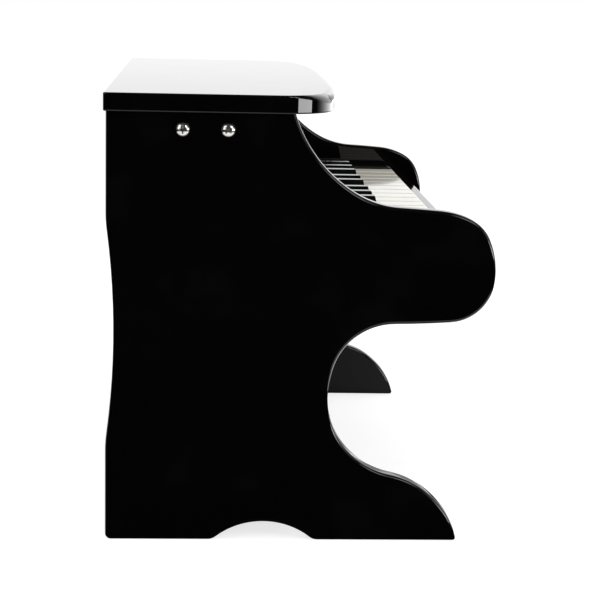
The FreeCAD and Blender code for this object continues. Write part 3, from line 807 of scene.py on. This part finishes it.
def all_screws():
    """The four sets of screws, from one geometry tree and one head."""
    tree, inputs = screw_tree()
    head = new_piece("screw_head", screw_head())
    for screw_set in SCREW_SETS:
        screws(*screw_set, tree, inputs, head)
    bpy.data.objects.remove(head)


FELT_STEPS = 118
FELT_SIDES = 20
FELT_FUZZ = 0.22 * MM
FELT_LUMP = 5 * MM
FELT_END = 0.86
FELT_SQUARE_ACROSS, FELT_SQUARE_UP = 0.34, 0.42
FELT_CREASE = math.radians(60)


def felt_strip(name, node):
    """A strip of felt, soft at its edges and a little uneven, where the node lies."""
    low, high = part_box(node)
    middle, half = (low + high) / 2, (high - low) / 2
    work = bmesh.new()
    rings = []
    for step in range(FELT_STEPS + 1):
        x = low.x + (high.x - low.x) * step / FELT_STEPS
        end = min(1.0, FELT_END + (1 - FELT_END) * min(step, FELT_STEPS - step))
        ring = []
        for side in range(FELT_SIDES):
            angle = math.tau * (side + 0.5) / FELT_SIDES
            across = math.copysign(abs(math.cos(angle)) ** FELT_SQUARE_ACROSS, math.cos(angle))
            up = math.copysign(abs(math.sin(angle)) ** FELT_SQUARE_UP, math.sin(angle))
            uneven = noise.noise(Vector((x, across * half.y, up * half.z)) / FELT_LUMP)
            inset = FELT_FUZZ * (0.5 + 0.5 * uneven)
            y = middle.y + across * (half.y - inset) * end
            z = middle.z + up * half.z * end - (inset if up > 0 else 0)
            ring.append(work.verts.new((x, y, max(z, low.z))))
        rings.append(ring)
    for before, after in zip(rings, rings[1:]):
        for side in range(FELT_SIDES):
            beside = (side + 1) % FELT_SIDES
            work.faces.new((before[side], before[beside], after[beside], after[side]))
    work.faces.new(reversed(rings[0]))
    work.faces.new(rings[-1])
    bmesh.ops.recalc_face_normals(work, faces=work.faces)
    mesh = bpy.data.meshes.new(name)
    work.to_mesh(mesh)
    work.free()
    mesh.shade_smooth()
    mesh.set_sharp_from_angle(angle=FELT_CREASE)
    mesh.materials.append(pressed_felt)
    piece = new_piece(name, mesh)
    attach(piece, "case")
    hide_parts(node)


# Floor, light and camera. An edge is a pair: where a zone begins and where it is full.

FLOOR_SPREAD = 8.0
FLOOR_WHITE = shade(0.45, 0.45, 0.45)
WHITE = shade(1, 1, 1)
BLACK = shade(0, 0, 0)
FLOOR_GLOW = 0.75

# What polished faces see on the floor is painted for glossy rays alone. The floor is black to them, a
# painted shade, except for painted reflections of a table beside the left panel, a strip before the knee
# space and the foot of the backdrop, which sweeps round to the front, and the floor under the piano, which
# keeps its own shading with a dim painted glow.
TABLE_PAINTED_GLOW = 0.45
UNDER_DIM_PAINTED_GLOW = 0.05
STRIP_PAINTED_GLOW = 2.5
BACKDROP_LIGHT = 1.25
FRONT_SWEEP_PAINTED_GLOW = 3.6
TABLE_NEAR = (-0.95, -0.80)
TABLE_ENDS = (0.45, 0.75)
TABLE_SLANT = (0.58, 0.66)
# Between the outside and the inside edge the table stops: a painted shadow along the foot of the left panel.
PANEL_OUTSIDE = (-0.26, -0.23)
PANEL_INSIDE = (-0.209, -0.20)
UNDER_FRONT = (-0.16, -0.12)
STRIP_FRONT = (-0.45, -0.35)
STRIP_BACK = (-0.14, -0.125)
STRIP_END = (0.19, 0.21)
STRIP_SLANT = (0.64, 0.72)
BACKDROP_SKEW, BACKDROP_FOOT = 0.2, (0.2, 0.6)
SWEEP_FRONT = (-1.4, -0.8)
SWEEP_TURN = (-0.15, 0.63)

# What they see above it: the backdrop up to its top edge, brighter and taller at the front, with a dim gap
# low down between the two parts, and a dark room.
FRONT_LIGHT = 2.0
ROOM_LIGHT = 0.04
BACKDROP_TURN = (0.0, 0.45)
BACKDROP_SLOPE, BACKDROP_TOP = 0.15, (0.2, 0.42)
FRONT_TURN = (-0.35, -0.1)
FRONT_TALLER = 0.3
GAP_FRONT = (-0.60, -0.45)
GAP_BACK = (-0.26, -0.18)
GAP_TOP = (0.17, 0.25)
GAP_DIMMING = 0.7

# Even light for everything else, from the horizon up to the top.
AMBIENT_LOW = 0.50
AMBIENT_HIGH = 1.12
AMBIENT_CLIMB = (0.0, 1.0)


def studio_floor():
    """A pale floor that takes the shadow and reads white; polished faces see the painted reflections and
    painted shade named above.
    """
    mesh = bpy.data.meshes.new("floor")
    spread = FLOOR_SPREAD
    mesh.from_pydata(
        [(-spread, -spread, 0), (spread, -spread, 0), (spread, spread, 0), (-spread, spread, 0)],
        [], [(0, 1, 2, 3)])
    material = bpy.data.materials.new("floor_white")
    material.use_nodes = True
    graph = Graph(material.node_tree)
    seen = graph.node("ShaderNodeLightPath")
    mirrored = seen.other("Is Glossy Ray")
    at = graph.place()
    x, y, _ = graph.axes(at)
    heading, _, _ = graph.axes(graph.node("ShaderNodeVectorMath", {"operation": "NORMALIZE"}, {0: at}))
    aside = graph.node("ShaderNodeMath", {"operation": "ABSOLUTE"}, {0: y})
    slant = graph.node("ShaderNodeLayerWeight", None, None, "Facing")
    # The painted foot of the backdrop, sweeping round to the front: a glow that only glossy rays see.
    ahead = 1 - graph.rise(y, *SWEEP_FRONT)
    behind = (graph.rise(x + BACKDROP_SKEW * y, *BACKDROP_FOOT) * (1 - ahead)
              + graph.rise(heading, *SWEEP_TURN) * ahead)
    outside = 1 - graph.rise(x, *PANEL_OUTSIDE)
    inside = graph.rise(x, *PANEL_INSIDE)
    # A painted reflection of a bright strip before the knee space, for glossy rays.
    strip = (graph.rise(y, *STRIP_FRONT) * (1 - graph.rise(y, *STRIP_BACK)) * inside
             * (1 - graph.rise(x, *STRIP_END)) * (1 - graph.rise(slant, *STRIP_SLANT)))
    # A painted reflection of a table beside the left panel; under the piano it gives a dim painted glow.
    painted_table = (graph.rise(x, *TABLE_NEAR) * (1 - graph.rise(aside, *TABLE_ENDS)) * (1 - behind)
             * (outside * (1 - graph.rise(slant, *TABLE_SLANT)) + inside * graph.rise(y, *UNDER_FRONT)))
    table_painted_glow = UNDER_DIM_PAINTED_GLOW + outside * (TABLE_PAINTED_GLOW - UNDER_DIM_PAINTED_GLOW)
    painted_sweep_glow = BACKDROP_LIGHT + ahead * (FRONT_SWEEP_PAINTED_GLOW - BACKDROP_LIGHT)
    # To glossy rays the floor is painted black outside the table: painted shade.
    colour = graph.mix(mirrored * (1 - painted_table), FLOOR_WHITE, BLACK)
    matt = graph.node("ShaderNodeBsdfDiffuse", None, {"Color": colour})
    # Glossy rays see painted glows here: the table, the foot of the backdrop and the strip.
    light = seen * FLOOR_GLOW + mirrored * (painted_table * table_painted_glow + behind * painted_sweep_glow + strip * STRIP_PAINTED_GLOW)
    glow = graph.node("ShaderNodeEmission", None, {"Strength": light})
    both = graph.node("ShaderNodeAddShader", None, {0: matt, 1: glow})
    graph.node("ShaderNodeOutputMaterial", None, {"Surface": both})
    mesh.materials.append(material)
    floor = new_piece("floor", mesh)


def studio_world():
    """White behind the object and even light all round; polished faces see the backdrop in a dark room."""
    world = bpy.data.worlds.new("studio")
    bpy.context.scene.world = world
    world.use_nodes = True
    graph = Graph(world.node_tree)
    ray = graph.node("ShaderNodeLightPath")
    mirrored = ray.other("Is Glossy Ray")
    plain = graph.node("ShaderNodeMath", {"operation": "MAXIMUM"},
                       {0: ray, 1: ray.other("Is Transmission Ray")})
    x, y, z = graph.axes(graph.node("ShaderNodeTexCoord"))
    front = 1 - graph.rise(y, *FRONT_TURN)
    above = graph.rise(z - BACKDROP_SLOPE * x - FRONT_TALLER * front, *BACKDROP_TOP)
    gap = (graph.rise(y, *GAP_FRONT) * (1 - graph.rise(y, *GAP_BACK))
           * (1 - graph.rise(z, *GAP_TOP)))
    level = (BACKDROP_LIGHT + front * (FRONT_LIGHT - BACKDROP_LIGHT)) * (1 - GAP_DIMMING * gap)
    room = ROOM_LIGHT + graph.rise(x, *BACKDROP_TURN) * (1 - above) * (level - ROOM_LIGHT)
    ambient = AMBIENT_LOW + graph.rise(z, *AMBIENT_CLIMB) * (AMBIENT_HIGH - AMBIENT_LOW)
    strength = plain + (1 - plain) * (mirrored * room + (1 - mirrored) * ambient)
    light = graph.node("ShaderNodeBackground", None, {"Color": WHITE, "Strength": strength})
    graph.node("ShaderNodeOutputWorld", None, {"Surface": light})


# Name, place, the point it is turned to, width, height and power.
SOFTBOXES = (
    ("front_softbox", (-1.10, -1.365, 0.24), (-0.20, -0.02, 0.24), 0.95, 0.20, 5.6),
    ("fill_softbox", (-1.10, -1.365, 0.56), (-0.20, -0.02, 0.56), 0.95, 0.44, 1.5),
    ("upper_softbox", (-1.43, -0.88, 1.05), (-0.20, -0.02, 0.25), 0.6, 0.4, 4),
    ("back_softbox", (-1.37, 1.10, 1.0), (-0.20, 0.05, 0.85), 1.1, 1.4, 6),
)


def softbox(name, place, aim, width, height, power):
    """A rectangular lamp turned towards a point."""
    lamp = bpy.data.lights.new(name, "AREA")
    lamp.shape = "RECTANGLE"
    lamp.size, lamp.size_y, lamp.energy = width, height, power
    lamp_object = bpy.data.objects.new(name, lamp)
    lamp_object.location = place
    lamp_object.rotation_euler = (Vector(aim) - Vector(place)).to_track_quat("-Z", "Y").to_euler()
    bpy.context.scene.collection.objects.link(lamp_object)


CAMERA_PLACE = (-1.31229, 0.0644, 0.3797)
CAMERA_LENS = 102.387
CAMERA_SENSOR = 36.0
CAMERA_CLIP = (0.01, 100)
CAMERA_YAW, CAMERA_PITCH, CAMERA_ROLL = -3.340, -10.959, 1.335


def photo_camera():
    """The camera at the photograph's angle, looking at the left side of the piano."""
    data = bpy.data.cameras.new("camera")
    data.lens, data.sensor_width = CAMERA_LENS, CAMERA_SENSOR
    data.clip_start, data.clip_end = CAMERA_CLIP
    turn = Matrix.Rotation(math.radians(CAMERA_YAW - 90), 3, "Z")
    tilt = Matrix.Rotation(math.radians(CAMERA_PITCH + 90), 3, "X")
    roll = Matrix.Rotation(math.radians(CAMERA_ROLL), 3, "Z")
    camera = bpy.data.objects.new("camera", data)
    camera.location = CAMERA_PLACE
    camera.rotation_euler = (turn @ tilt @ roll).to_euler()
    bpy.context.scene.collection.objects.link(camera)
    bpy.context.scene.camera = camera


bpy.context.scene.view_settings.view_transform = "Standard"
photo_camera()
studio_floor()
studio_world()
for lamp in SOFTBOXES:
    softbox(*lamp)
dress_nodes()
side_panel("left_panel", "left_side_panel")
side_panel("right_panel", "right_side_panel")
all_screws()
felt_strip("front_felt_strip", "front_stop_felt")
felt_strip("rear_felt_strip", "rear_rest_felt")
